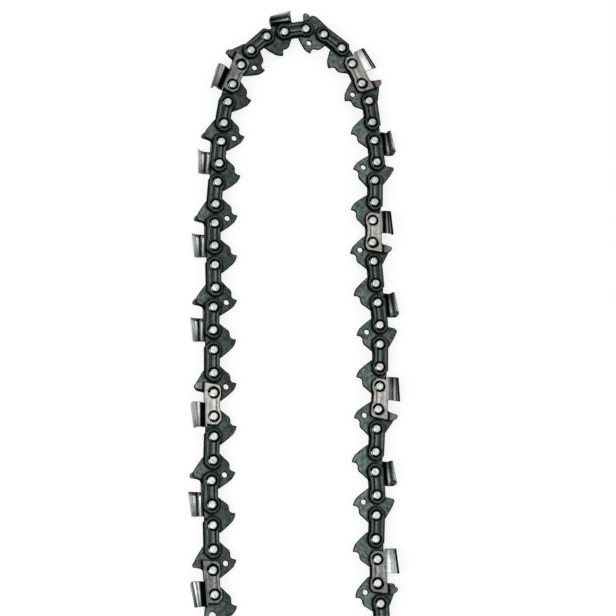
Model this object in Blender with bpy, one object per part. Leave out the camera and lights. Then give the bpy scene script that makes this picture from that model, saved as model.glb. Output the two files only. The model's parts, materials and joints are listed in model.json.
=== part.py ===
# Saw chain: the stretch seen in the photo, laid flat on its side.
# Drive links and strap links alternate, each pair of neighbours turning on one rivet.
# Local axes of every link: x along travel, y outward from the bar, z up out of the loop's plane.
# Lengths in this file are millimetres, turned into metres by MM.

import math

import bmesh
import bpy
from mathutils import Matrix, Vector

MM = 0.001

# pitch: rivet spacing in the two kinds of link
DRIVE_SPACING = 8.62
STRAP_SPACING = 10.02

# thicknesses across the chain
DRIVE_THICKNESS = 1.30
SIDE_PLAY = 0.20
PLATE_THICKNESS = 1.25
HEAD_HEIGHT = 0.42

# rivets
HUB_RADIUS = 1.30
HUB_PLAY = 0.25
HEAD_RADIUS = 1.72
HEAD_TOP_RADIUS = 1.42
ROUND_STEPS = 10
OIL_HOLE_RADIUS = 1.10
OIL_HOLE_STEPS = 8
OIL_HOLE_CENTRE = (-1.2, -5.5)

# drive outline
BODY_OUTER = 3.45
BODY_FRONT = 7.90
BODY_BACK = 8.00
TANG_DEPTH = 10.0
TANG_TIP = 0.50
TANG_STEP = 7.40
GUARD_HEIGHT = 7.85

# strap outline
STRAP_OUTER = 3.60
STRAP_INNER = 3.25
STRAP_WAIST = 2.40
WAIST_HALF = 2.00
STRAP_END = 3.60

# cutter tooth
TOOTH_FRONT = 1.00
TOOTH_BACK = -9.60
TOOTH_HEIGHT = 9.55
TOOTH_FALL = 1.20
TOOTH_FLARE = 1.30
TOOTH_TAPER = 0.28
TOOTH_REACH = 1.10
TOP_PLATE_THICKNESS = 1.05
TOP_PLATE_RAKE = 0.90
CORNER_DROP = 1.50
GAUGE_HEIGHT = 8.75
GULLET = 4.20
FLARE_TOP = 5.85
TOOTH_ROOT = 3.30
TOOTH_HOOK = 0.15
HOOK_DEPTH = 4.00
JOIN_INSET = 0.04

# layout: the loop's rivet where the root link starts, and each link's heading in degrees
ROOT_INDEX = 28
ROOT_RIVET = (-14.04, 124.44)
HEADINGS = (
    86, 95, 89, 92, 93, 92, 86, 89, 91, 91,
    90, 91, 92, 90, 85, 92, 92, 90, 88, 86,
    86, 85, 83, 81, 76, 68, 59, 45, 20, 13,
    -13, -35, -56, -64, -67, -82, -84, -84, -97, -91,
    -96, -91, -87, -85, -85, -85, -90, -91, -91, -94,
    -95, -93, -92, -86, -92, -92, -86, -90, -82, -88,
)
CUTTER_PERIOD = 4
RIGHT_CUTTERS = (1, 9, 25, 33, 41, 49, 57)

HALF_DRIVE = DRIVE_THICKNESS / 2
PLATE_INSIDE = HALF_DRIVE + SIDE_PLAY
PLATE_OUTSIDE = PLATE_INSIDE + PLATE_THICKNESS
HEAD_LEVEL = PLATE_OUTSIDE + HEAD_HEIGHT
TOOTH_SIDE = PLATE_OUTSIDE + TOOTH_FLARE
MID_LEVEL = TOOTH_SIDE

STEEL_BLUE = (0.055, 0.065, 0.062, 1.0)
STEEL_DARK = (0.035, 0.042, 0.040, 1.0)
CHROME = (0.42, 0.40, 0.37, 1.0)


def clear_scene():
    for item in list(bpy.data.objects):
        bpy.data.objects.remove(item, do_unlink=True)


def material(name, colour, roughness):
    made = bpy.data.materials.new(name)
    made.use_nodes = True
    shader = made.node_tree.nodes["Principled BSDF"]
    shader.inputs["Base Color"].default_value = colour
    shader.inputs["Metallic"].default_value = 1.0
    shader.inputs["Roughness"].default_value = roughness
    return made


def object_from(name, points, faces):
    mesh = bpy.data.meshes.new(name)
    mesh.from_pydata([Vector(p) * MM for p in points], [], faces)
    made = bpy.data.objects.new(name, mesh)
    bpy.context.scene.collection.objects.link(made)
    shape = bmesh.new()
    shape.from_mesh(mesh)
    bmesh.ops.recalc_face_normals(shape, faces=shape.faces)
    shape.to_mesh(mesh)
    shape.free()
    return made


def sweep(name, start_ring, end_ring):
    # closed solid between two rings with the same number of points
    count = len(start_ring)
    faces = [tuple(range(count))[::-1], tuple(range(count, 2 * count))]
    for i in range(count):
        j = (i + 1) % count
        faces.append((i, j, count + j, count + i))
    return object_from(name, list(start_ring) + list(end_ring), faces)


def plate(name, outline, low, high):
    lower = [(x, y, low) for x, y in outline]
    upper = [(x, y, high) for x, y in outline]
    return sweep(name, lower, upper)


def circle(centre, radius, steps):
    turn = math.tau / steps
    cx, cy = centre
    return [
        (cx + radius * math.cos(turn * (k + 0.5)), cy + radius * math.sin(turn * (k + 0.5)))
        for k in range(steps)
    ]


def cylinder(name, centre, radius, low, high, steps):
    return plate(name, circle(centre, radius, steps), low, high)


def combine(target, tool, operation):
    step = target.modifiers.new("step", "BOOLEAN")
    step.operation = operation
    step.solver = "EXACT"
    step.object = tool
    graph = bpy.context.evaluated_depsgraph_get()
    result = bpy.data.meshes.new_from_object(target.evaluated_get(graph))
    target.modifiers.clear()
    target.data = result
    bpy.data.objects.remove(tool, do_unlink=True)


def finished_mesh(target, name):
    # the temporary object gives its mesh and goes away
    mesh = target.data
    shape = bmesh.new()
    shape.from_mesh(mesh)
    bmesh.ops.remove_doubles(shape, verts=shape.verts, dist=0.00001)
    bmesh.ops.recalc_face_normals(shape, faces=shape.faces)
    shape.to_mesh(mesh)
    shape.free()
    mesh.name = name
    bpy.data.objects.remove(target, do_unlink=True)
    return mesh


def tang_outline():
    # from the front end round the inner side to the back end
    return [
        (BODY_FRONT, -0.8),
        (BODY_FRONT - 0.4, -2.9),
        (5.9, -4.8),
        (4.4, 0.6 - TANG_STEP),
        (3.3, 0.1 - TANG_STEP),
        (TANG_TIP + 1.1, -TANG_STEP),
        (TANG_TIP + 0.3, -TANG_STEP - 0.8),
        (TANG_TIP, -TANG_DEPTH),
        (TANG_TIP - 1.5, 0.4 - TANG_DEPTH),
        (TANG_TIP - 3.2, 1.25 - TANG_DEPTH),
        (-4.9, -6.5),
        (0.6 - BODY_BACK, -3.4),
        (-BODY_BACK, -1.2),
    ]


def drive_outline():
    back = [(0.8 - BODY_BACK, 1.9), (-5.2, BODY_OUTER)]
    front = [(5.2, BODY_OUTER), (BODY_FRONT - 0.7, 1.9)]
    return tang_outline() + back + front


def guard_outline():
    back = [(0.8 - BODY_BACK, 1.9), (-5.2, BODY_OUTER), (-3.9, 4.3)]
    crown = [
        (-3.45, GUARD_HEIGHT - 0.85),
        (-2.75, GUARD_HEIGHT - 0.05),
        (-1.2, GUARD_HEIGHT),
        (0.6, GUARD_HEIGHT - 0.75),
    ]
    ramp = [(5.2, 4.5), (BODY_FRONT - 1.0, 2.6), (BODY_FRONT - 0.3, 1.0)]
    return tang_outline() + back + crown + ramp


def drive_mesh(name, outline, oil_hole):
    body = plate(name, outline, -HALF_DRIVE, HALF_DRIVE)
    for side in (-1, 1):
        centre = (side * DRIVE_SPACING / 2, 0.0)
        bore = cylinder("bore", centre, HUB_RADIUS + HUB_PLAY, -2, 2, ROUND_STEPS)
        combine(body, bore, "DIFFERENCE")
    if oil_hole:
        bore = cylinder("bore", OIL_HOLE_CENTRE, OIL_HOLE_RADIUS, -2, 2, OIL_HOLE_STEPS)
        combine(body, bore, "DIFFERENCE")
    return finished_mesh(body, name)


def strap_outline():
    half = STRAP_SPACING / 2
    front = [
        (WAIST_HALF, -STRAP_WAIST),
        (half - 1.2, -STRAP_INNER),
        (half + 1.6, -STRAP_INNER),
        (half + STRAP_END - 0.2, -1.4),
        (half + STRAP_END, 1.1),
        (half + 1.5, STRAP_OUTER),
    ]
    back = [(-x, y) for x, y in reversed(front)]
    return front + back


def cutter_outline():
    half = STRAP_SPACING / 2
    foot = [
        (-half - STRAP_END, -1.4),
        (-half - 1.6, -STRAP_INNER),
        (-half + 1.2, -STRAP_INNER),
        (-WAIST_HALF, -STRAP_WAIST),
        (WAIST_HALF, -STRAP_WAIST),
        (half - 1.2, -STRAP_INNER),
        (half + 2.2, -STRAP_INNER),
        (half + STRAP_END, -2.2),
    ]
    gauge = [
        (half + 4.7, 6.2),
        (half + 3.7, GAUGE_HEIGHT - 0.65),
        (half + 2.5, GAUGE_HEIGHT),
        (half + 1.6, GAUGE_HEIGHT - 0.45),
        (half + 1.1, 5.6),
        (half + 0.4, 4.5),
        (half - 0.6, GULLET),
    ]
    shoulder = [(-0.5, GULLET), (-8.2, GULLET), (-half - STRAP_END, 1.6)]
    return foot + gauge + shoulder


def tooth_section(height, side):
    # (outward, across) points of the tooth wall and the plate folded over the chain
    shift = side - PLATE_OUTSIDE
    under = height - TOP_PLATE_THICKNESS
    wall = side - PLATE_THICKNESS
    return [
        (TOOTH_ROOT, PLATE_INSIDE + JOIN_INSET),
        (GULLET + 0.3, PLATE_INSIDE + JOIN_INSET),
        (FLARE_TOP + 0.2, PLATE_INSIDE + shift),
        (under - 0.9, wall),
        (under, wall - 0.9),
        (under, -TOOTH_REACH),
        (height, -TOOTH_REACH),
        (height, side - CORNER_DROP),
        (height - 0.55, side - 0.45),
        (height - CORNER_DROP, side),
        (FLARE_TOP, side),
        (GULLET, PLATE_OUTSIDE - JOIN_INSET),
        (TOOTH_ROOT, PLATE_OUTSIDE - JOIN_INSET),
    ]


def tooth(name):
    front = tooth_section(TOOTH_HEIGHT, TOOTH_SIDE)
    back = tooth_section(TOOTH_HEIGHT - TOOTH_FALL, TOOTH_SIDE - TOOTH_TAPER)
    width = TOOTH_SIDE + TOOTH_REACH
    front_ring = []
    for y, z in front:
        rake = TOP_PLATE_RAKE * (TOOTH_SIDE - z) / width
        hook = TOOTH_HOOK * min(1.0, max(0.0, (TOOTH_HEIGHT - y) / HOOK_DEPTH))
        front_ring.append((TOOTH_FRONT - rake - hook, y, z))
    back_ring = [(TOOTH_BACK, y, z) for y, z in back]
    return sweep(name, back_ring, front_ring)


def rivet(name, centre):
    rings = (
        (HEAD_TOP_RADIUS, -HEAD_LEVEL),
        (HEAD_RADIUS, -PLATE_OUTSIDE + 0.06),
        (HUB_RADIUS, -PLATE_OUTSIDE + 0.07),
        (HUB_RADIUS, PLATE_OUTSIDE - 0.07),
        (HEAD_RADIUS, PLATE_OUTSIDE - 0.06),
        (HEAD_TOP_RADIUS, HEAD_LEVEL),
    )
    points = []
    for radius, level in rings:
        points += [(x, y, level) for x, y in circle(centre, radius, ROUND_STEPS)]
    faces = [tuple(range(ROUND_STEPS))[::-1]]
    for ring in range(len(rings) - 1):
        base = ring * ROUND_STEPS
        for i in range(ROUND_STEPS):
            j = (i + 1) % ROUND_STEPS
            faces.append((base + i, base + j, base + ROUND_STEPS + j, base + ROUND_STEPS + i))
    last = (len(rings) - 1) * ROUND_STEPS
    faces.append(tuple(range(last, last + ROUND_STEPS)))
    return object_from(name, points, faces)


def add_rivets(body):
    for side in (-1, 1):
        combine(body, rivet("pin", (side * STRAP_SPACING / 2, 0.0)), "UNION")


def flipped(mesh):
    # turn a right-hand link into a left-hand one
    mesh.transform(Matrix.Scale(-1, 4, Vector((0, 0, 1))))
    mesh.flip_normals()


def tie_mesh(name):
    body = plate(name, strap_outline(), PLATE_INSIDE, PLATE_OUTSIDE)
    add_rivets(body)
    other = plate("other", strap_outline(), -PLATE_OUTSIDE, -PLATE_INSIDE)
    combine(body, other, "UNION")
    return finished_mesh(body, name)


def cutter_mesh(name, left_hand):
    body = plate(name, cutter_outline(), PLATE_INSIDE, PLATE_OUTSIDE)
    combine(body, tooth("tooth"), "UNION")
    add_rivets(body)
    other = plate("other", strap_outline(), -PLATE_OUTSIDE, -PLATE_INSIDE)
    combine(body, other, "UNION")
    mesh = finished_mesh(body, name)
    if left_hand:
        flipped(mesh)
    return mesh


def shifted(mesh, offset):
    # copy whose origin is the rivet the link turns on
    copy = mesh.copy()
    copy.transform(Matrix.Translation((offset * MM, 0, 0)))
    return copy


def link_kind(index):
    if index % 2 == 0:
        return "guard_drive" if index % CUTTER_PERIOD == 2 else "drive"
    if index % CUTTER_PERIOD != 1:
        return "tie"
    return "right_cutter" if index in RIGHT_CUTTERS else "left_cutter"


def spacing(index):
    return DRIVE_SPACING if index % 2 == 0 else STRAP_SPACING


def heading_vector(index):
    angle = math.radians(HEADINGS[index])
    return Vector((math.cos(angle), math.sin(angle))) * spacing(index)


def rivet_points():
    # rivet k joins link k-1 to link k
    points = {ROOT_INDEX: Vector(ROOT_RIVET)}
    for k in range(ROOT_INDEX, len(HEADINGS)):
        points[k + 1] = points[k] + heading_vector(k)
    for k in range(ROOT_INDEX, 0, -1):
        points[k - 1] = points[k] - heading_vector(k - 1)
    return points


def main():
    clear_scene()
    bright = material("link_chromed_steel", CHROME, 0.35)
    blued = material("link_blued_steel", STEEL_BLUE, 0.42)
    dark = material("link_dark_steel", STEEL_DARK, 0.40)
    shapes = {
        "drive": (drive_mesh("drive", drive_outline(), False), blued),
        "guard_drive": (drive_mesh("guard_drive", guard_outline(), True), blued),
        "tie": (tie_mesh("tie"), dark),
        "right_cutter": (cutter_mesh("right_cutter", False), bright),
        "left_cutter": (cutter_mesh("left_cutter", True), bright),
    }
    variants = {}
    for kind, (mesh, surface) in shapes.items():
        mesh.materials.clear()
        mesh.materials.append(surface)
        half = (DRIVE_SPACING if "drive" in kind else STRAP_SPACING) / 2
        variants[kind, "back"] = shifted(mesh, half)
        variants[kind, "front"] = shifted(mesh, -half)
    rivets = rivet_points()
    for index in range(len(HEADINGS)):
        kind = link_kind(index)
        # links before the root turn on their front rivet, the others on their back rivet
        end = "front" if index < ROOT_INDEX else "back"
        pivot = rivets[index + 1] if end == "front" else rivets[index]
        name = f"link_{index + 1:02d}_{kind}"
        link = bpy.data.objects.new(name, variants[kind, end])
        link.location = (pivot.x * MM, pivot.y * MM, MID_LEVEL * MM)
        link.rotation_euler = (0.0, 0.0, math.radians(HEADINGS[index]))
        bpy.context.scene.collection.objects.link(link)
    for mesh, surface in shapes.values():
        bpy.data.meshes.remove(mesh)


main()
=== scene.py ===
import json
import math
import random

import bmesh
import bpy
from mathutils import Matrix, Vector

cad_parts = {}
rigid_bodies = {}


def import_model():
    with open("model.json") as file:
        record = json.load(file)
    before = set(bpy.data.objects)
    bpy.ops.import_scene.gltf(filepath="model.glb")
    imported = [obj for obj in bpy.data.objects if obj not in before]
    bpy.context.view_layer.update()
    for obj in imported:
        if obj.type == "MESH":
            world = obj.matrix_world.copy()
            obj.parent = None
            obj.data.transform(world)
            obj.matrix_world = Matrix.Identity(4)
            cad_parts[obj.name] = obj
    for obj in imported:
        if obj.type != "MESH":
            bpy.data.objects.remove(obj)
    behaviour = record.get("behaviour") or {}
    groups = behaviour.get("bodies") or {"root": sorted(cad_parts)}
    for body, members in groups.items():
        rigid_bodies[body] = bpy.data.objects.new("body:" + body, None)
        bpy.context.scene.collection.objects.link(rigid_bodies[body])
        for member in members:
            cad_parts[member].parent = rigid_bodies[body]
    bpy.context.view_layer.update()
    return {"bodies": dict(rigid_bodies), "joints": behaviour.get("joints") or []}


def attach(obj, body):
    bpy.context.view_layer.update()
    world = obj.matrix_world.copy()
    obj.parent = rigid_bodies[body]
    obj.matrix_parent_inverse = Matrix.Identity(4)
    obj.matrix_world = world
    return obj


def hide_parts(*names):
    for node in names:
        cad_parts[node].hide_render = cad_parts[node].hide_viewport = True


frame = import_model()

MM = 0.001
DRIVE_SPACING = 8.62
STRAP_SPACING = 10.02
HALF = STRAP_SPACING / 2
HALF_DRIVE = 0.65
PLATE_IN = 0.85
PLATE_OUT = 2.10
HEAD_LEVEL = 2.70
TOOTH_SIDE = 3.40
TOOTH_HEIGHT = 9.55
BORE = 1.55
# A tooth is what lies beyond this height above the pins and behind this place along the link.
TOOTH_FOOT = 3.45
TOOTH_FRONT = 1.3
TOOTH_ROOT = 4.1
TOOTH_FALL = 0.113
GAUGE_ROOT = 4.2
END_HEADINGS = (86.0, -88.0)
# Near-black colour that the painted shade mixes into the steel.
SHADE_BLACK = (0.0015, 0.002, 0.002, 1.0)
PHOTO_PIXELS = 616.0
RANDOM = random.Random(7)


# ---------------------------------------------------------------- shapes

def rounded(corners, steps=5):
    """Corners (x, y, radius) to a dense outline with arcs."""
    count = len(corners)
    out = []
    for i, (x, y, r) in enumerate(corners):
        p = Vector((x, y))
        a = Vector(corners[i - 1][:2]) - p
        b = Vector(corners[(i + 1) % count][:2]) - p
        la, lb = a.length, b.length
        a.normalize()
        b.normalize()
        half = a.angle(b) / 2
        if r <= 0 or half > math.radians(88.5):
            out.append((x, y))
            continue
        cut = min(r / math.tan(half), la * 0.48, lb * 0.48)
        r = cut * math.tan(half)
        centre = p + (a + b).normalized() * (r / math.sin(half))
        start = p + a * cut - centre
        end = p + b * cut - centre
        turn = start.angle_signed(end)
        first = math.atan2(start.y, start.x)
        for k in range(steps + 1):
            t = first - turn * k / steps
            out.append((centre.x + r * math.cos(t), centre.y + r * math.sin(t)))
    return out


def solid(name, rings):
    """Closed solid through rings of equal length; every ring is a list of (x, y, z)."""
    count = len(rings[0])
    verts = [Vector(p) for ring in rings for p in ring]
    faces = [tuple(range(count))[::-1]]
    for k in range(len(rings) - 1):
        a, b = k * count, (k + 1) * count
        for i in range(count):
            j = (i + 1) % count
            faces.append((a + i, a + j, b + j, b + i))
    last = (len(rings) - 1) * count
    faces.append(tuple(range(last, last + count)))
    mesh = bpy.data.meshes.new(name)
    mesh.from_pydata(verts, [], faces)
    obj = bpy.data.objects.new(name, mesh)
    bpy.context.scene.collection.objects.link(obj)
    shape = bmesh.new()
    shape.from_mesh(mesh)
    bmesh.ops.recalc_face_normals(shape, faces=shape.faces)
    shape.to_mesh(mesh)
    shape.free()
    return obj


def prism(name, outline, low, high):
    return solid(name, [[(x, y, low) for x, y in outline], [(x, y, high) for x, y in outline]])


def inset(outline, distance):
    """Outline moved inward; it runs either way round."""
    count = len(outline)
    points = [Vector(p) for p in outline]
    area = sum(points[i - 1].cross(points[i]) for i in range(count))
    side = 1 if area > 0 else -1
    out = []
    for i in range(count):
        a = (points[i] - points[i - 1]).normalized()
        b = (points[(i + 1) % count] - points[i]).normalized()
        na, nb = Vector((-a.y, a.x)) * side, Vector((-b.y, b.x)) * side
        mid = (na + nb).normalized()
        out.append(tuple(points[i] + mid * (distance / max(0.6, mid.dot(na)))))
    return out


def eased(name, outline, low, high, low_ease, high_ease, steps=4):
    """Plate with rounded rims, as punching leaves them."""
    rings = []
    for k in range(steps + 1):
        t = math.pi / 2 * k / steps
        rings.append((low_ease * (1 - math.sin(t)), low + low_ease * (1 - math.cos(t))))
    for k in range(steps + 1):
        t = math.pi / 2 * k / steps
        rings.append((high_ease * (1 - math.cos(t)), high - high_ease * (1 - math.sin(t))))
    return solid(name, [[(x, y, z) for x, y in inset(outline, off)] for off, z in rings])


def ring_of(cx, cy, r, z, steps=36):
    return [
        (cx + r * math.cos(math.tau * k / steps), cy + r * math.sin(math.tau * k / steps), z)
        for k in range(steps)
    ]


def turned(name, cx, cy, profile, steps=36):
    return solid(name, [ring_of(cx, cy, r, z, steps) for r, z in profile])


def evaluated(obj):
    graph = bpy.context.evaluated_depsgraph_get()
    mesh = bpy.data.meshes.new_from_object(obj.evaluated_get(graph))
    obj.modifiers.clear()
    old = obj.data
    obj.data = mesh
    bpy.data.meshes.remove(old)


def boolean(target, tool, operation):
    step = target.modifiers.new("step", "BOOLEAN")
    step.operation = operation
    step.solver = "EXACT"
    step.object = tool
    evaluated(target)
    bpy.data.objects.remove(tool, do_unlink=True)


def smooth(mesh, angle=32):
    for poly in mesh.polygons:
        poly.use_smooth = True
    mesh.set_sharp_from_angle(angle=math.radians(angle))


def tang_corners():
    """The drive link's inner edge, from its front round the tang and its hook to the back."""
    return [
        (7.85, -0.6, 1.5), (7.5, -2.9, 1.3), (5.9, -4.8, 1.4), (4.4, -6.8, 0.9),
        (3.3, -7.3, 0.8), (1.6, -7.42, 0.7), (0.85, -8.25, 0.8), (0.5, -10.05, 0.3),
        (-1.0, -9.65, 1.6), (-2.7, -8.8, 2.2), (-4.9, -6.5, 2.6), (-7.4, -3.4, 1.0),
        (-7.95, -1.2, 1.3),
    ]


def drive_corners(guard):
    if guard:
        return tang_corners() + [
            (-7.15, 1.9, 1.5), (-5.3, 3.4, 0.9), (-3.95, 4.3, 0.9), (-3.45, 7.0, 0.9),
            (-2.75, 7.8, 0.6), (-1.2, 7.85, 1.0), (0.6, 7.1, 2.0), (5.2, 4.5, 2.2),
            (6.9, 2.6, 1.6), (7.55, 1.0, 1.6),
        ]
    back = [(-7.15, 1.9, 1.6), (-5.2, 3.45, 1.6), (5.2, 3.45, 1.6), (7.15, 1.9, 1.6)]
    return tang_corners() + back


def strap_corners():
    front = [
        (2.0, -2.6, 2.6), (HALF - 1.2, -3.32, 1.7), (HALF + 1.6, -3.32, 1.1),
        (HALF + 3.58, -1.4, 1.1), (HALF + 3.74, 1.1, 0.9), (HALF + 1.6, 3.82, 0.9),
    ]
    return front + [(-x, y, r) for x, y, r in reversed(front)]


def cutter_corners():
    return [
        (-HALF - 3.7, -1.4, 1.1), (-HALF - 1.6, -3.3, 1.1), (-HALF + 1.2, -3.3, 1.7),
        (-2.0, -2.6, 2.6), (2.0, -2.6, 2.6), (HALF - 1.2, -3.24, 1.7), (HALF + 2.2, -3.24, 0.8),
        (HALF + 3.6, -2.2, 0.7), (HALF + 4.7, 6.2, 1.0), (HALF + 3.7, 8.1, 1.0),
        (HALF + 2.5, 8.75, 0.8), (HALF + 1.6, 8.3, 0.6), (HALF + 1.1, 5.6, 1.2),
        (HALF + 0.4, 4.5, 0.8), (HALF - 0.6, GAUGE_ROOT, 0.8), (-0.5, GAUGE_ROOT, 0.0),
        (-8.2, GAUGE_ROOT, 0.0), (-HALF - 3.58, 1.6, 1.2),
    ]


def countersinks(obj, spacing, outside, depth=0.45):
    """Sink a ring round each rivet into the plate's outer face."""
    sign = 1 if outside > 0 else -1
    for side in (-1, 1):
        tool = turned("sink", side * spacing / 2, 0, [
            (1.66, outside - sign * depth), (2.08, outside - sign * (depth - 0.03)),
            (2.42, outside - sign * 0.12), (2.58, outside + sign * 0.02), (2.9, outside + sign * 0.35)])
        boolean(obj, tool, "DIFFERENCE")


def groove(obj, points, width, depth, outside):
    """Press a narrow groove along a path into the plate's outer face."""
    sign = 1 if outside > 0 else -1
    left, right = [], []
    for i, (x, y) in enumerate(points):
        a = Vector(points[max(0, i - 1)])
        b = Vector(points[min(len(points) - 1, i + 1)])
        n = (b - a).normalized().orthogonal()
        left.append((x + n.x * width / 2, y + n.y * width / 2))
        right.append((x - n.x * width / 2, y - n.y * width / 2))
    outline = left + right[::-1]
    low, high = sorted((outside - sign * depth, outside + sign * 0.3))
    boolean(obj, prism("groove", outline, low, high), "DIFFERENCE")


def press_bands(obj, outside):
    """The lengthwise bands pressed between the two rivets."""
    high = [(-3.0, 1.5), (-1.5, 1.45), (1.5, 1.45), (3.0, 1.5)]
    low = [(-2.9, -1.15), (-1.5, -0.98), (0, -0.93), (1.5, -0.98), (2.9, -1.15)]
    groove(obj, high, 0.75, 0.14, outside)
    groove(obj, low, 0.42, 0.2, outside)


def strap_plate(sign):
    """One plate of a tie; sign 1 is the near side."""
    if sign > 0:
        obj = eased("strap", rounded(strap_corners()), PLATE_IN, PLATE_OUT, 0.1, 0.42)
    else:
        obj = eased("strap", rounded(strap_corners()), -PLATE_OUT, -PLATE_IN, 0.42, 0.1)
    countersinks(obj, STRAP_SPACING, sign * PLATE_OUT)
    press_bands(obj, sign * PLATE_OUT)
    return finish_shape(obj, STRAP_SPACING, sign)


def lean_gauge(obj):
    """The depth gauge leans out of the plate like the tooth does."""
    for v in obj.data.vertices:
        rise = min(1.0, max(0.0, (v.co.y - GAUGE_ROOT) / 1.6))
        t = rise * min(1.0, max(0.0, (v.co.x - 4.6) / 1.0))
        v.co.z += 0.95 * t * t * (3 - 2 * t)


def tooth_rings():
    """Hook-shaped sections of the tooth, from its low back end to its cutting edge."""
    def section(height, side, thin):
        """Outer line up the flank and over the top plate, inner line back down."""
        under = height - 1.05
        wall = side - 1.22
        outer = [(3.0, PLATE_OUT - 0.03), (3.4, PLATE_OUT - 0.03)]
        inner = [(3.3, PLATE_IN + 0.03), (4.3, PLATE_IN + 0.03)]
        for k in range(1, 9):
            t = k / 8
            s = t * t * (3 - 2 * t)
            outer.append((3.4 + 3.1 * t, PLATE_OUT + (side - PLATE_OUT) * s))
            inner.append((4.3 + 2.3 * t, PLATE_IN + (wall - PLATE_IN) * s))
        big, small = 1.5, 0.75
        for k in range(1, 8):
            t = k / 8
            outer.append((6.5 + (height - big - 6.5) * t, side))
            inner.append((6.6 + (under - small - 6.6) * t, wall))
        for k in range(0, 8):
            a = math.pi / 2 * k / 7
            outer.append((height - big + big * math.sin(a), side - big + big * math.cos(a)))
            inner.append((under - small + small * math.sin(a), wall - small + small * math.cos(a)))
        outer.append((height, -0.2))
        inner.append((under, -0.2))
        outer.append((height, -1.10))
        inner.append((under, -1.10))
        inner = [
            (o[0] + (i[0] - o[0]) * thin, o[1] + (i[1] - o[1]) * thin)
            for o, i in zip(outer, inner)
        ]
        return outer + inner[::-1]

    # Place along the link, share of the wall's thickness, fall of the top plate, narrowing.
    stations = (
        (-9.6, 1, 1.2, 0.28), (-9.45, 1, 1.18, 0.276), (-3.5, 1, 0.5, 0.11),
        (-1.0, 1, 0.22, 0.045), (-0.4, 1, 0.16, 0.03), (1.0, 0.12, 0, 0),
    )
    rings = []
    for x, thin, fall, taper in stations:
        points = section(TOOTH_HEIGHT - fall, TOOTH_SIDE - taper, thin)
        ring = []
        for y, z in points:
            at = x
            if x > -3:
                at -= 0.9 * (TOOTH_SIDE - z) / 4.5
                at -= 0.15 * min(1.0, max(0.0, (TOOTH_HEIGHT - y) / 4.0))
            ring.append((at, y, z))
        rings.append(ring)
    return rings


def cutter_plate(sign):
    obj = eased("cutter", rounded(cutter_corners()), PLATE_IN, PLATE_OUT, 0.1, 0.3)
    lean_gauge(obj)
    boolean(obj, solid("tooth", tooth_rings()), "UNION")
    countersinks(obj, STRAP_SPACING, PLATE_OUT)
    low = [(-2.9, -1.35), (-1.5, -1.22), (0, -1.18), (1.5, -1.22), (2.9, -1.35)]
    groove(obj, low, 0.26, 0.1, PLATE_OUT)
    mesh = finish_shape(obj, STRAP_SPACING, 1, 3.5)
    if sign < 0:
        mesh.transform(Matrix.Scale(-1, 4, Vector((0, 0, 1))))
        mesh.flip_normals()
    return mesh


def finish_shape(obj, spacing, sign, tooth_from=None):
    """Give the sunk rings the second material and the tooth the third; hand back the mesh."""
    mesh = obj.data
    top = sign * PLATE_OUT
    for poly in mesh.polygons:
        c = poly.center
        near = min(math.hypot(c.x - spacing / 2, c.y), math.hypot(c.x + spacing / 2, c.y))
        sunk = near < 2.5 and (c.z - top) * sign < -0.04 and abs(c.z) > PLATE_IN + 0.3
        tooth = tooth_from is not None and c.y > tooth_from and c.x < TOOTH_FRONT
        poly.material_index = 1 if sunk else 2 if tooth else 0
    smooth(mesh)
    if tooth_from is not None:
        flat = obj.modifiers.new("flat", "WEIGHTED_NORMAL")
        flat.keep_sharp = True
        evaluated(obj)
        mesh = obj.data
    bpy.data.objects.remove(obj, do_unlink=True)
    return mesh


def drive_shape(guard):
    obj = eased("drive", rounded(drive_corners(guard)), -HALF_DRIVE, HALF_DRIVE, 0.27, 0.27)
    for side in (-1, 1):
        bore = turned("bore", side * DRIVE_SPACING / 2, 0, [(BORE, -2), (BORE, 2)])
        boolean(obj, bore, "DIFFERENCE")
    if guard:
        hole = [(1.4, -0.9), (1.12, -0.45), (1.12, 0.45), (1.4, 0.9)]
        boolean(obj, turned("oil", -1.2, -5.5, hole), "DIFFERENCE")
    mesh = obj.data
    smooth(mesh)
    bpy.data.objects.remove(obj, do_unlink=True)
    return mesh


def rivets_shape():
    """Both rivets of a link, each with a formed head at either end."""
    head = [
        (0.35, 0.03), (0.8, 0.02), (1.15, 0), (1.40, 0.05), (1.58, 0.17), (1.66, 0.38), (1.68, 0.62),
    ]
    profile = [(r, rise - HEAD_LEVEL) for r, rise in head] + [(1.66, -1.66), (1.30, -1.64)]
    both = profile + [(r, -z) for r, z in reversed(profile)]
    shape = bmesh.new()
    for side in (-1, 1):
        obj = turned("rivet", side * HALF, 0, both, 40)
        shape.from_mesh(obj.data)
        bpy.data.objects.remove(obj, do_unlink=True)
    mesh = bpy.data.meshes.new("rivets")
    shape.to_mesh(mesh)
    shape.free()
    smooth(mesh, 50)
    return mesh


# ---------------------------------------------------------------- materials

def new_group(name, inputs, outputs):
    tree = bpy.data.node_groups.new(name, "ShaderNodeTree")
    for label, kind in inputs:
        tree.interface.new_socket(label, in_out="INPUT", socket_type=kind)
    for label, kind in outputs:
        tree.interface.new_socket(label, in_out="OUTPUT", socket_type=kind)
    return tree, tree.nodes.new("NodeGroupInput"), tree.nodes.new("NodeGroupOutput")


def feed(tree, socket, value):
    """Link another node's socket, or set a plain value."""
    if isinstance(value, bpy.types.NodeSocket):
        tree.links.new(value, socket)
    else:
        socket.default_value = value


def node(tree, kind, inputs=None, **settings):
    made = tree.nodes.new(kind)
    for key, value in settings.items():
        setattr(made, key, value)
    for key, value in (inputs or {}).items():
        feed(tree, made.inputs[key], value)
    return made


def math_node(tree, operation, a, b=None, clamp=False):
    made = tree.nodes.new("ShaderNodeMath")
    made.operation = operation
    made.use_clamp = clamp
    feed(tree, made.inputs[0], a)
    if b is not None:
        feed(tree, made.inputs[1], b)
    return made.outputs[0]


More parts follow.
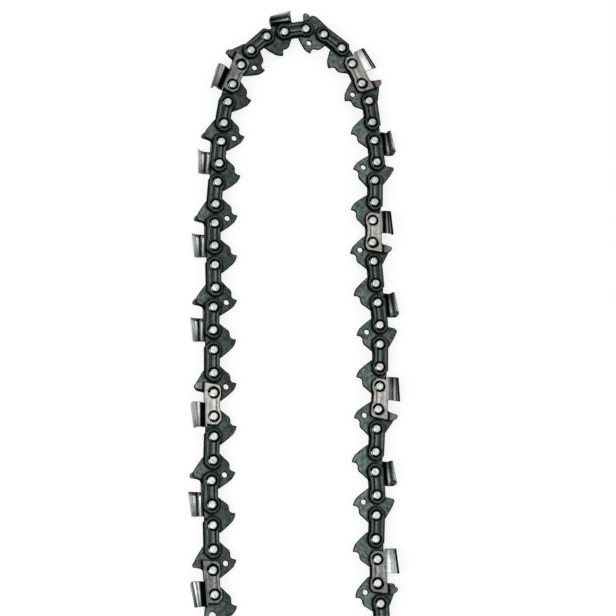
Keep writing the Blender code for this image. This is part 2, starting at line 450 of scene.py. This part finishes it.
def noise(tree, vector, scale, detail, roughness, distortion=0.0):
    made = node(tree, "ShaderNodeTexNoise", {
        "Vector": vector, "Scale": scale, "Detail": detail, "Roughness": roughness,
        "Distortion": distortion})
    return made.outputs[0]


def ramp(tree, value, low, high):
    made = node(tree, "ShaderNodeMapRange", {"Value": value, "From Min": low, "From Max": high})
    made.clamp = True
    return made.outputs[0]


def mix_colour(tree, fac, a, b):
    made = tree.nodes.new("ShaderNodeMix")
    made.data_type = "RGBA"
    for key, value in ((0, fac), (6, a), (7, b)):
        feed(tree, made.inputs[key], value)
    return made.outputs[2]


def steel_group():
    """Finish shared by all the steel: patina, scratches and worn edges, and what darkens it.

    Darkening is painted shade: in the creases where neighbours hide the light, on the rim round each
    plate, on faces turned away from the light, and where a piece's own tone is low. Dark places lose
    their metal, so they stay dark at a glance.
    """
    inputs = [(label, "NodeSocketColor") for label in ("Base", "Patina", "Worn")]
    inputs += [(label, "NodeSocketFloat") for label in (
        "Wear", "Crease shade", "Rim shade", "Shade", "Band light", "Gauge shade", "Outline", "Grain", "Rough")]
    outputs = [("Color", "NodeSocketColor"), ("Metal", "NodeSocketFloat"),
               ("Roughness", "NodeSocketFloat"), ("Normal", "NodeSocketVector")]
    tree, into, out = new_group("worn_and_shaded_steel", inputs, outputs)
    given = into.outputs

    def times(a, b, clamp=False):
        return math_node(tree, "MULTIPLY", a, b, clamp=clamp)

    def larger(a, b, clamp=False):
        return math_node(tree, "MAXIMUM", a, b, clamp=clamp)

    def less(a, b, clamp=False):
        return math_node(tree, "SUBTRACT", a, b, clamp=clamp)

    where = node(tree, "ShaderNodeAttribute", attribute_name="rest").outputs["Vector"]
    tone = node(tree, "ShaderNodeAttribute", attribute_name="tone").outputs["Fac"]
    plate = node(tree, "ShaderNodeAttribute", attribute_name="plate").outputs["Fac"]
    patches = ramp(tree, noise(tree, where, 0.62, 4, 0.62, 0.5), 0.38, 0.62)
    fine = noise(tree, where, 3.2, 4, 0.65)
    stretched = node(tree, "ShaderNodeVectorMath", {0: where, 1: (0.3, 6.0, 6.0)},
                     operation="MULTIPLY").outputs[0]
    lines = ramp(tree, noise(tree, stretched, 1.1, 3, 0.6), 0.5, 0.74)

    # Brightness of each place, with the painted light and shade that tone, bands and gauge root carry,
    # before the painted shade below.
    bright = times(less(1.2, times(ramp(tree, fine, 0.30, 0.72), 0.5)), tone)
    bright = times(bright, painted_band_light(tree, given["Band light"]))
    bright = times(bright, gauge_root_shade(tree, fine, given["Gauge shade"]))

    # Edges worn bright, with fine lines along the link.
    edge = node(tree, "ShaderNodeBevel", {"Radius": given["Outline"]}, samples=4)
    surface = node(tree, "ShaderNodeNewGeometry").outputs["Normal"]
    bend = node(tree, "ShaderNodeVectorMath", {0: edge.outputs[0], 1: surface},
                operation="DOT_PRODUCT").outputs["Value"]
    worn = times(ramp(tree, bend, 0.95, 0.80), ramp(tree, fine, 0.38, 0.62))
    worn = times(larger(worn, times(lines, 0.3)), given["Wear"], clamp=True)
    colour = mix_colour(tree, patches, given["Base"], given["Patina"])
    colour = mix_colour(tree, worn, colour, given["Worn"])
    colour = node(tree, "ShaderNodeVectorMath", {0: colour, "Scale": bright},
                  operation="SCALE").outputs[0]

    # Painted shade in the creases, where neighbouring parts hide the light.
    open_sky = node(tree, "ShaderNodeAmbientOcclusion", {"Distance": 0.0012}, samples=6)
    painted_crease_shade = times(ramp(tree, open_sky.outputs["AO"], 0.94, 0.68), given["Crease shade"], clamp=True)

    # Dark rim round each plate: painted shade of the rounded edges, and the rough punched sides; a
    # little lighter on flanks that look away from the camera's side.
    facing = node(tree, "ShaderNodeSeparateXYZ", {0: surface}).outputs
    upright = math_node(tree, "ABSOLUTE", facing["Z"])
    border = times(ramp(tree, upright, 0.985, 0.88), plate)
    border = larger(border, ramp(tree, bend, 0.997, 0.955))
    turned_off = math_node(tree, "ADD", facing["X"], facing["Y"])
    lift = times(ramp(tree, turned_off, 0.02, 0.5), 0.5)
    lift = times(lift, ramp(tree, upright, 0.45, 0.2))
    rim = times(times(border, less(1.0, lift)), given["Rim shade"])

    # Faces turned to the dark side of the studio.
    away = times(ramp(tree, facing["X"], 0.06, 0.28), given["Shade"])
    away = times(away, ramp(tree, facing["Z"], 0.10, 0.26))

    dark = larger(painted_crease_shade, larger(rim, away), clamp=True)
    # Painted highlights of high tone clear the painted shade; painted shade of low tone turns the steel
    # black.
    dark = times(dark, ramp(tree, tone, 7.0, 3.0))
    dark = larger(dark, ramp(tree, tone, 0.24, 0.05))
    tree.links.new(mix_colour(tree, dark, colour, SHADE_BLACK), out.inputs["Color"])
    tree.links.new(less(1.0, dark), out.inputs["Metal"])
    rough = math_node(tree, "ADD", given["Rough"], times(less(fine, 0.5), 0.35))
    tree.links.new(less(rough, times(worn, 0.08), clamp=True), out.inputs["Roughness"])
    height = times(noise(tree, where, 6.0, 3, 0.6), 0.6)
    height = math_node(tree, "ADD", height, times(lines, 0.4))
    bump = node(tree, "ShaderNodeBump", {
        "Strength": given["Grain"], "Distance": 0.00012, "Height": height})
    tree.links.new(bump.outputs[0], out.inputs["Normal"])
    return tree


def gauge_root_shade(tree, fine, amount):
    """Painted shade in the bend at the depth gauge's root, and the mottled gauge beyond it."""
    spot = node(tree, "ShaderNodeAttribute", attribute_name="spot").outputs["Vector"]
    parts = node(tree, "ShaderNodeSeparateXYZ", {0: spot})
    height = parts.outputs["Y"]
    bend = math_node(tree, "MULTIPLY", ramp(tree, height, 3.7, 4.2), ramp(tree, height, 5.7, 5.0))
    mottle = ramp(tree, fine, 0.58, 0.48)
    mottle = math_node(tree, "MULTIPLY", ramp(tree, height, 4.5, 5.4), mottle)
    bend = math_node(tree, "MULTIPLY", bend, 0.98)
    loss = math_node(tree, "MAXIMUM", bend, math_node(tree, "MULTIPLY", mottle, 0.75))
    loss = math_node(tree, "MULTIPLY", loss, ramp(tree, parts.outputs["X"], 4.6, 5.6))
    return math_node(tree, "SUBTRACT", 1.0, math_node(tree, "MULTIPLY", loss, amount))


def painted_band_light(tree, amount):
    """Painted highlights and shade along the bands between the rivets: light and dark stripes where the
    light falls on the pressed profile.
    """
    spot = node(tree, "ShaderNodeAttribute", attribute_name="spot").outputs["Vector"]
    parts = node(tree, "ShaderNodeSeparateXYZ", {0: spot})
    lowest, highest, brightest = -3.0, 4.0, 4.0
    span = highest - lowest
    across = node(tree, "ShaderNodeMapRange", {
        "Value": parts.outputs["Y"], "From Min": lowest, "From Max": highest})
    levels = node(tree, "ShaderNodeValToRGB", {0: across.outputs[0]})
    # Height above the pins, brightness.
    stops = (
        (-2.2, 0.8), (-1.55, 2.0), (-0.85, 0.5), (-0.5, 1.1), (-0.05, 3.4), (0.4, 1.5),
        (1.3, 0.9), (2.1, 0.8), (2.6, 2.7), (3.0, 0.8),
    )
    elements = levels.color_ramp.elements
    elements[0].position = (stops[0][0] - lowest) / span
    elements[1].position = (stops[-1][0] - lowest) / span
    for y, _ in stops[1:-1]:
        elements.new((y - lowest) / span)
    for element, (_, level) in zip(elements, stops):
        element.color = (level / brightest, level / brightest, level / brightest, 1)
    level = math_node(tree, "MULTIPLY", levels.outputs[0], brightest)
    along = math_node(tree, "ABSOLUTE", parts.outputs["X"])
    inside = math_node(tree, "MULTIPLY", ramp(tree, along, 3.3, 2.5), amount)
    change = math_node(tree, "MULTIPLY", math_node(tree, "SUBTRACT", level, 1.0), inside)
    return math_node(tree, "ADD", change, 1.0)


STEEL = steel_group()


def steel(name, base, patina, worn, wear, crease_shade, rim, shade, bands, gauge, outline, grain, rough):
    """Material of one kind of steel piece, made from the shared finish and its painted shade."""
    made = bpy.data.materials.new(name)
    made.use_nodes = True
    tree = made.node_tree
    shader = tree.nodes["Principled BSDF"]
    shader.inputs["Specular IOR Level"].default_value = 0.0
    group = tree.nodes.new("ShaderNodeGroup")
    group.node_tree = STEEL
    values = {
        "Base": base, "Patina": patina, "Worn": worn, "Wear": wear, "Crease shade": crease_shade, "Rim shade": rim,
        "Shade": shade, "Band light": bands, "Gauge shade": gauge, "Outline": outline, "Grain": grain,
        "Rough": rough,
    }
    for key, value in values.items():
        group.inputs[key].default_value = (*value, 1.0) if isinstance(value, tuple) else value
    tree.links.new(group.outputs["Color"], shader.inputs["Base Color"])
    tree.links.new(group.outputs["Metal"], shader.inputs["Metallic"])
    tree.links.new(group.outputs["Roughness"], shader.inputs["Roughness"])
    tree.links.new(group.outputs["Normal"], shader.inputs["Normal"])
    return made


drive_steel = steel(
    "drive_steel", (0.024, 0.036, 0.033), (0.082, 0.102, 0.096), (0.15, 0.165, 0.16),
    wear=0.5, crease_shade=1.0, rim=1.0, shade=0.5, bands=0.0, gauge=0.0, outline=0.00080,
    grain=0.5, rough=0.38)
strap_steel = steel(
    "strap_steel", (0.038, 0.052, 0.048), (0.080, 0.094, 0.090), (0.15, 0.165, 0.16),
    wear=0.5, crease_shade=1.0, rim=1.0, shade=0.5, bands=1.0, gauge=0.0, outline=0.00036,
    grain=0.5, rough=0.48)
rivet_steel = steel(
    "rivet_steel", (0.94, 0.94, 0.93), (0.58, 0.59, 0.58), (0.98, 0.97, 0.96),
    wear=0.5, crease_shade=0.8, rim=0.0, shade=0.8, bands=0.0, gauge=0.0, outline=0.00040,
    grain=0.45, rough=0.32)
# Near-black sunk rings: painted shade in the recess round each rivet, with the blackening that peening
# leaves.
sunk_shade_steel = steel(
    "sunk_shade_steel", (0.005, 0.007, 0.006), (0.012, 0.015, 0.014), (0.16, 0.17, 0.16),
    wear=0.1, crease_shade=1.0, rim=0.0, shade=0.4, bands=0.0, gauge=0.0, outline=0.00040,
    grain=0.4, rough=0.42)
cutter_steel = steel(
    "cutter_steel", (0.52, 0.49, 0.458), (0.33, 0.32, 0.30), (0.74, 0.72, 0.70),
    wear=0.5, crease_shade=1.0, rim=1.0, shade=1.0, bands=0.35, gauge=1.0, outline=0.00038,
    grain=0.3, rough=0.28)
cool_cutter_steel = steel(
    "cool_cutter_steel", (0.50, 0.50, 0.485), (0.24, 0.255, 0.245), (0.72, 0.73, 0.72),
    wear=0.5, crease_shade=1.0, rim=1.0, shade=1.0, bands=0.35, gauge=1.0, outline=0.00038,
    grain=0.3, rough=0.28)
tooth_steel = steel(
    "tooth_steel", (0.44, 0.465, 0.46), (0.31, 0.335, 0.33), (0.72, 0.73, 0.72),
    wear=0.4, crease_shade=1.0, rim=1.0, shade=1.0, bands=0.0, gauge=1.0, outline=0.00045,
    grain=0.3, rough=0.28)
far_cutter_steel = steel(
    "far_cutter_steel", (0.43, 0.46, 0.45), (0.30, 0.325, 0.315), (0.72, 0.73, 0.72),
    wear=0.4, crease_shade=1.0, rim=1.0, shade=0.25, bands=0.0, gauge=1.0, outline=0.00045,
    grain=0.3, rough=0.28)


# ---------------------------------------------------------------- links

def link_frames():
    """Centre and heading of each packed link, from its rivets."""
    pivots = {int(j["name"].split("_")[1]): Vector(j["pos_m"]) for j in frame["joints"]}
    names = sorted(frame["bodies"])
    out = []
    for i, name in enumerate(names):
        spacing = (DRIVE_SPACING if i % 2 == 0 else STRAP_SPACING) * MM
        if i == 0 or i == len(names) - 1:
            angle = math.radians(END_HEADINGS[0 if i == 0 else 1])
            step = Vector((math.cos(angle), math.sin(angle), 0)) * spacing / 2
            centre = pivots[1] - step if i == 0 else pivots[i] + step
        else:
            centre = (pivots[i] + pivots[i + 1]) / 2
            step = pivots[i + 1] - pivots[i]
            angle = math.atan2(step.y, step.x)
        out.append((name, centre, angle))
    return out


def is_tooth(point):
    return point.y > TOOTH_FOOT and point.x < TOOTH_FRONT


def rivet_flank_highlight(point, turn):
    """Painted highlight of the rivet's flank in the sunk ring, on the lit side."""
    lit_side, width, strength = math.radians(202), math.radians(32), 150.0
    side = HALF if point.x > 0 else -HALF
    x, y = point.x - side, point.y
    if not 1.6 < math.hypot(x, y) < 2.2:
        return 1.0
    off = (math.atan2(y, x) + turn - lit_side + math.pi) % math.tau - math.pi
    return 1.0 + strength * max(0.0, 1.0 - abs(off) / width)


def put(name, shape, materials, body, place, tone, replaced=None):
    """Copy a shape to its link, with its finish fields and the painted light and shade in its tone, and
    let it ride on the link's body.
    """
    mesh = shape.copy()
    mesh.name = name
    offset = Vector((RANDOM.uniform(0, 400), RANDOM.uniform(0, 400), RANDOM.uniform(0, 400)))
    points = [v.co.copy() for v in mesh.vertices]
    fields = {
        "rest": [c for p in points for c in p + offset],
        "spot": [c for p in points for c in p],
        "tone": [tone(p) for p in points],
        "plate": [0.0 if "cutter" in name and is_tooth(p) else 1.0 for p in points],
    }
    for label, values in fields.items():
        vector = label in ("rest", "spot")
        data = mesh.attributes.new(label, "FLOAT_VECTOR" if vector else "FLOAT", "POINT").data
        data.foreach_set("vector" if vector else "value", values)
    for m in materials:
        mesh.materials.append(m)
    mesh.transform(place @ Matrix.Scale(MM, 4))
    obj = bpy.data.objects.new(name, mesh)
    bpy.context.scene.collection.objects.link(obj)
    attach(obj, body)
    if replaced:
        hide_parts(replaced)
    return obj


def shade_across(start, end):
    """Painted light and shade: brightness drifts from the outer edge (start) to the tang's tip (end),
    as the light falls on each run.
    """
    def tone(point):
        t = min(1.0, max(0.0, (5.0 - point.y) / 9.0))
        return start + (end - start) * t
    return tone


SHAPES = {
    "drive": drive_shape(False),
    "guard_drive": drive_shape(True),
    "near": strap_plate(1),
    "far": strap_plate(-1),
    "right_cutter": cutter_plate(1),
    "left_cutter": cutter_plate(-1),
    "rivets": rivets_shape(),
}
# Near cutters: tone of the body, then (height above the pins, tone) from the tooth's root to its top
# plate, as painted reflection of the light and dark surroundings that the polished tooth shows.
CUTTERS = {
    2: (0.56, (
        (6.3, 0.5), (6.6, 1.4), (6.9, 3.8), (7.2, 3.4), (7.5, 0.8), (8.0, 1.0), (8.4, 2.6),
        (8.8, 0.5), (9.3, 0.5))),
    10: (1.30, (
        (6.3, 0.7), (6.8, 1.9), (7.2, 1.6), (7.5, 0.4), (7.9, 0.4), (8.4, 0.5), (8.8, 0.4),
        (9.2, 0.7))),
    26: (0.62, (
        (6.3, 0.4), (6.8, 2.6), (7.1, 1.6), (7.4, 0.2), (7.8, 1.9), (8.2, 1.7), (8.6, 0.4),
        (9.2, 1.0))),
    34: (0.74, (
        (4.1, 1.0), (4.3, 2.8), (6.9, 2.8), (7.2, 0.04), (7.6, 0.04), (7.9, 1.2), (8.3, 0.8),
        (8.8, 0.2), (9.1, 0.03))),
    42: (0.95, (
        (4.1, 1.0), (4.3, 0.01), (5.5, 0.06), (6.1, 0.2), (6.5, 1.3), (6.8, 0.08), (7.4, 0.06),
        (7.9, 0.7), (8.3, 0.1), (9.0, 0.01))),
    50: (0.98, (
        (4.1, 1.0), (4.3, 0.18), (5.2, 0.4), (5.7, 0.04), (6.3, 0.5), (6.8, 1.5), (7.2, 0.4),
        (7.7, 0.03), (8.2, 0.9), (8.8, 0.01))),
    58: (0.60, (
        (4.1, 1.0), (4.3, 1.8), (5.2, 2.2), (5.8, 0.9), (6.6, 2.8), (7.2, 1.3), (7.8, 2.5),
        (8.4, 1.0), (8.8, 0.03))),
}
COOL_CUTTERS = (2, 26, 58)
# Far cutters of the left and of the right run, in the same form: painted light and shade inside the
# tooth, lit on the left run and shaded on the right.
LEFT_RUN = (1.0, (
    (4.1, 0.3), (4.6, 1.7), (5.4, 1.6), (5.8, 0.1), (6.4, 0.05), (6.8, 1.5), (7.4, 2.7),
    (8.0, 1.5), (8.5, 1.1), (9.5, 1.3)))
RIGHT_RUN = (0.8, (
    (4.1, 0.01), (6.35, 0.02), (6.85, 1.6), (7.4, 1.6), (7.9, 0.4), (8.2, 0.1), (8.5, 1.2),
    (9.0, 2.0), (9.5, 1.7)))
# Number of the link at the top of the arch, which splits the left run from the right.
ROOT = 29


def between(stops, at):
    """Straight-line value between (place, value) stops."""
    if at <= stops[0][0]:
        return stops[0][1]
    for (a, low), (b, high) in zip(stops, stops[1:]):
        if at <= b:
            return low + (high - low) * (at - a) / (b - a)
    return stops[-1][1]


def cutter_tone(index, angle):
    body, tooth = CUTTERS.get(index, LEFT_RUN if index < ROOT else RIGHT_RUN)
    darker_front_from = math.inf if index in CUTTERS else -0.5 if index > ROOT + 2 else 0.0

    def tone(point):
        if not is_tooth(point):
            return body * (rivet_flank_highlight(point, angle) if index in CUTTERS else 1.0)
        # The top plate falls towards the back, so heights are counted up to it.
        height = TOOTH_HEIGHT - TOOTH_FALL * (1 - point.x)
        # The far cutters' teeth are darker at the front, and every tooth at its back end.
        end = 0.06 if point.x > darker_front_from else 0.35 if point.x < -9.4 else 1.0
        full = TOOTH_HEIGHT - TOOTH_ROOT
        at = TOOTH_ROOT + (point.y - TOOTH_ROOT) * full / (height - TOOTH_ROOT)
        return body * end * between(tooth, at)
    return tone


def strap_tone(level, angle):
    # Painted highlight in the sunk rings of the near plate.
    return lambda point: level * (rivet_flank_highlight(point, angle) if point.z > 0 else 1.0)


for name, centre, angle in link_frames():
    number, kind = name.split("_", 2)[1:]
    index = int(number)
    place = Matrix.Translation(centre) @ Matrix.Rotation(angle, 4, "Z")
    vary = RANDOM.uniform(0.88, 1.14)
    if kind.endswith("drive"):
        left = index < ROOT + 2
        # Painted shade: the left run's tangs darker towards their tips, the right run's lighter, as the
        # light falls.
        tone = shade_across(1.9 * vary, 0.95 * vary) if left else shade_across(1.6 * vary, 2.3 * vary)
        obj = put(f"plate_{number}", SHAPES[kind], [drive_steel], name, place, tone, name)
        continue
    strap_faces = [strap_steel, sunk_shade_steel]
    on_strap = strap_tone(vary, angle)
    if kind.endswith("cutter"):
        side = "far" if kind == "right_cutter" else "near"
        if index not in CUTTERS:
            faces = [far_cutter_steel, sunk_shade_steel, far_cutter_steel]
        else:
            body_steel = cool_cutter_steel if index in COOL_CUTTERS else cutter_steel
            faces = [body_steel, sunk_shade_steel, tooth_steel]
        on_cutter = cutter_tone(index, angle)
        pieces = [("cutter", kind, faces, on_cutter, "link_chromed_steel", name),
                  ("strap", side, strap_faces, on_strap, "link_dark_steel", None)]
    else:
        pieces = [("strap_near", "near", strap_faces, on_strap, "link_dark_steel", name),
                  ("strap_far", "far", strap_faces, on_strap, "link_dark_steel", None)]
    for label, shape, faces, tone, slot, shown in pieces:
        obj = put(f"{label}_{number}", SHAPES[shape], faces, name, place, tone, shown)
    bright = RANDOM.uniform(0.88, 1.05)
    pins = put(f"rivets_{number}", SHAPES["rivets"], [rivet_steel], name, place,
               lambda p: bright if abs(p.z) > HEAD_LEVEL - 0.3 else 0.3)


# ---------------------------------------------------------------- studio

def backdrop_mix(tree):
    """Camera and glossy rays see the white of the backdrop; the rest lights the part."""
    rays = node(tree, "ShaderNodeLightPath")
    seen = math_node(tree, "MAXIMUM", rays.outputs["Is Camera Ray"], rays.outputs["Is Glossy Ray"])
    return math_node(tree, "MAXIMUM", seen, rays.outputs["Is Transmission Ray"])


def floor():
    mesh = bpy.data.meshes.new("floor")
    size = 6.0
    corners = [(-size, -size, 0), (size, -size, 0), (size, size, 0), (-size, size, 0)]
    mesh.from_pydata(corners, [], [(0, 1, 2, 3)])
    obj = bpy.data.objects.new("floor", mesh)
    bpy.context.scene.collection.objects.link(obj)
    obj.location.z = -0.0002
    made = bpy.data.materials.new("floor_white")
    made.use_nodes = True
    tree = made.node_tree
    shader = tree.nodes["Principled BSDF"]
    shader.inputs["Base Color"].default_value = (0.93, 0.93, 0.93, 1)
    shader.inputs["Roughness"].default_value = 0.9
    shader.inputs["Specular IOR Level"].default_value = 0.1
    white = node(tree, "ShaderNodeEmission", {"Color": (1, 1, 1, 1), "Strength": 1.0})
    seen = math_node(tree, "MULTIPLY", backdrop_mix(tree), 0.78)
    blend = node(tree, "ShaderNodeMixShader", {0: seen, 1: shader.outputs[0], 2: white.outputs[0]})
    tree.links.new(blend.outputs[0], tree.nodes["Material Output"].inputs["Surface"])
    mesh.materials.append(made)


def world():
    made = bpy.data.worlds.new("studio")
    bpy.context.scene.world = made
    made.use_nodes = True
    tree = made.node_tree
    back = tree.nodes["Background"]
    seen = backdrop_mix(tree)
    strength = node(tree, "ShaderNodeMapRange", {"Value": seen, "To Min": 0.95, "To Max": 1.0})
    back.inputs["Color"].default_value = (1, 1, 1, 1)
    tree.links.new(strength.outputs[0], back.inputs["Strength"])


def black_flag():
    """Curved dark screen on the right, seen only in the steel."""
    steps = 24
    verts, faces = [], []
    for k in range(steps + 1):
        a = math.radians(-65 + 190 * k / steps)
        for r, z in ((0.62, 0.0), (0.62, 0.28), (0.50, 0.46)):
            verts.append((r * math.cos(a), r * math.sin(a), z))
        if k:
            b = (k - 1) * 3
            faces += [(b, b + 3, b + 4, b + 1), (b + 1, b + 4, b + 5, b + 2)]
    mesh = bpy.data.meshes.new("black_flag")
    mesh.from_pydata(verts, [], faces)
    obj = bpy.data.objects.new("black_flag", mesh)
    bpy.context.scene.collection.objects.link(obj)
    made = bpy.data.materials.new("black_cloth")
    made.use_nodes = True
    shader = made.node_tree.nodes["Principled BSDF"]
    shader.inputs["Base Color"].default_value = (0.012, 0.012, 0.012, 1)
    shader.inputs["Roughness"].default_value = 1.0
    mesh.materials.append(made)
    obj.visible_camera = False
    obj.visible_diffuse = False
    obj.visible_shadow = False


def area(name, place, target, size, power):
    data = bpy.data.lights.new(name, "AREA")
    data.shape = "RECTANGLE"
    data.size, data.size_y = size
    data.energy = power
    obj = bpy.data.objects.new(name, data)
    obj.location = place
    obj.rotation_euler = (Vector(target) - Vector(place)).to_track_quat("-Z", "Y").to_euler()
    bpy.context.scene.collection.objects.link(obj)


def camera():
    """Camera solved from the photo's rivets: it looks down from the lower left."""
    tilt, round_left, distance, focal_pixels = math.radians(18.0), math.radians(45.0), 0.7592, 1752.5
    target = Vector((0.00472, 0.00073, 0.00592))
    lean = math.sin(tilt)
    out = Vector((-lean * math.sin(round_left), -lean * math.cos(round_left), math.cos(tilt)))
    up = (Vector((0, 1, 0)) - out * out.y).normalized()
    right = up.cross(out)
    data = bpy.data.cameras.new("camera")
    data.sensor_width = 36.0
    data.lens = data.sensor_width * focal_pixels / PHOTO_PIXELS
    data.clip_start = 0.01
    data.shift_x = -0.15 / PHOTO_PIXELS
    data.shift_y = 0.4 / PHOTO_PIXELS
    obj = bpy.data.objects.new("camera", data)
    turn = Matrix((right, up, out)).transposed().to_4x4()
    obj.matrix_world = Matrix.Translation(target + out * distance) @ turn
    bpy.context.scene.collection.objects.link(obj)
    bpy.context.scene.camera = obj


floor()
world()
black_flag()
area("key", (-0.43, -0.24, 0.49), (0, 0, 0), (0.35, 0.5), 2.2)
camera()
bpy.context.scene.view_settings.view_transform = "Standard"
